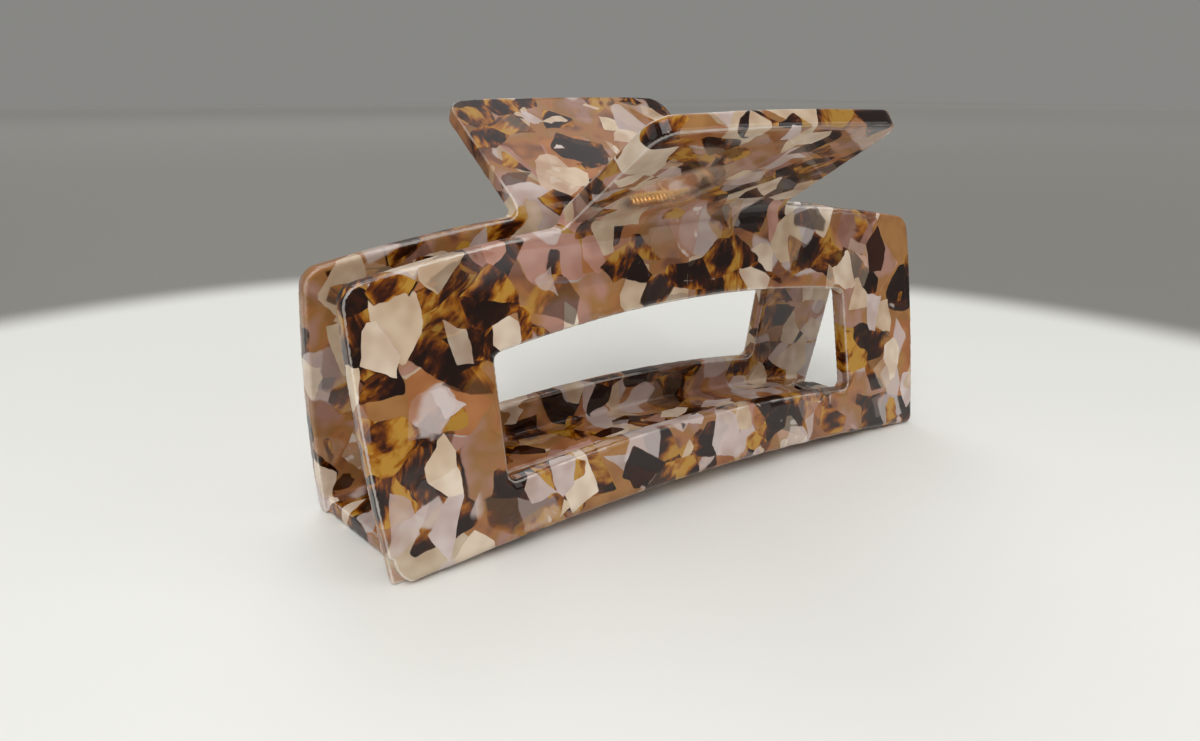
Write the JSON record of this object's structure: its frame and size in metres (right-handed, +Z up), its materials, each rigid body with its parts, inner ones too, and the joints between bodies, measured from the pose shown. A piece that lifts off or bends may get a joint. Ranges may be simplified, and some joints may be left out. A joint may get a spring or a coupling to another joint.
{
  "type": "claw clip",
  "caption": "Large arched claw clip: two bent sheet jaws with open rectangular windows, closed by a torsion spring on a pinned metal hinge between its handles.",
  "frame": {"origin": "on the standing plane, under the middle of the closed clip", "axes": "+X along the clip, +Y from the front jaw to the back jaw, +Z up towards the handles"},
  "size_m": [0.1092, 0.0576, 0.0604],
  "materials": {
    "acetate": "polished mosaic acetate: cream, lilac-white, dusty pink, beige, amber and dark brown flakes",
    "gold_metal": "bright gold-tone plating",
    "gold_spring": "bright gold-tone spring wire"
  },
  "bodies": {
    "back": {"back_jaw": "acetate", "back_hinge_strap": "gold_metal", "back_strap_studs": "gold_metal", "hinge_pin": "gold_metal", "torsion_spring": "gold_spring"},
    "front": {"front_jaw": "acetate", "front_hinge_strap": "gold_metal", "front_strap_studs": "gold_metal"}
  },
  "joints": [
    {"name": "jaw_hinge", "type": "hinge", "parent": "back", "child": "front", "pos_m": [0, 0, 0.0458], "axis": [-1, 0, 0], "range_deg": [0, 70], "stiffness_Nm_per_rad": 0.02, "springref_deg": -91.67, "deforming": ["torsion_spring"]}
  ]
}
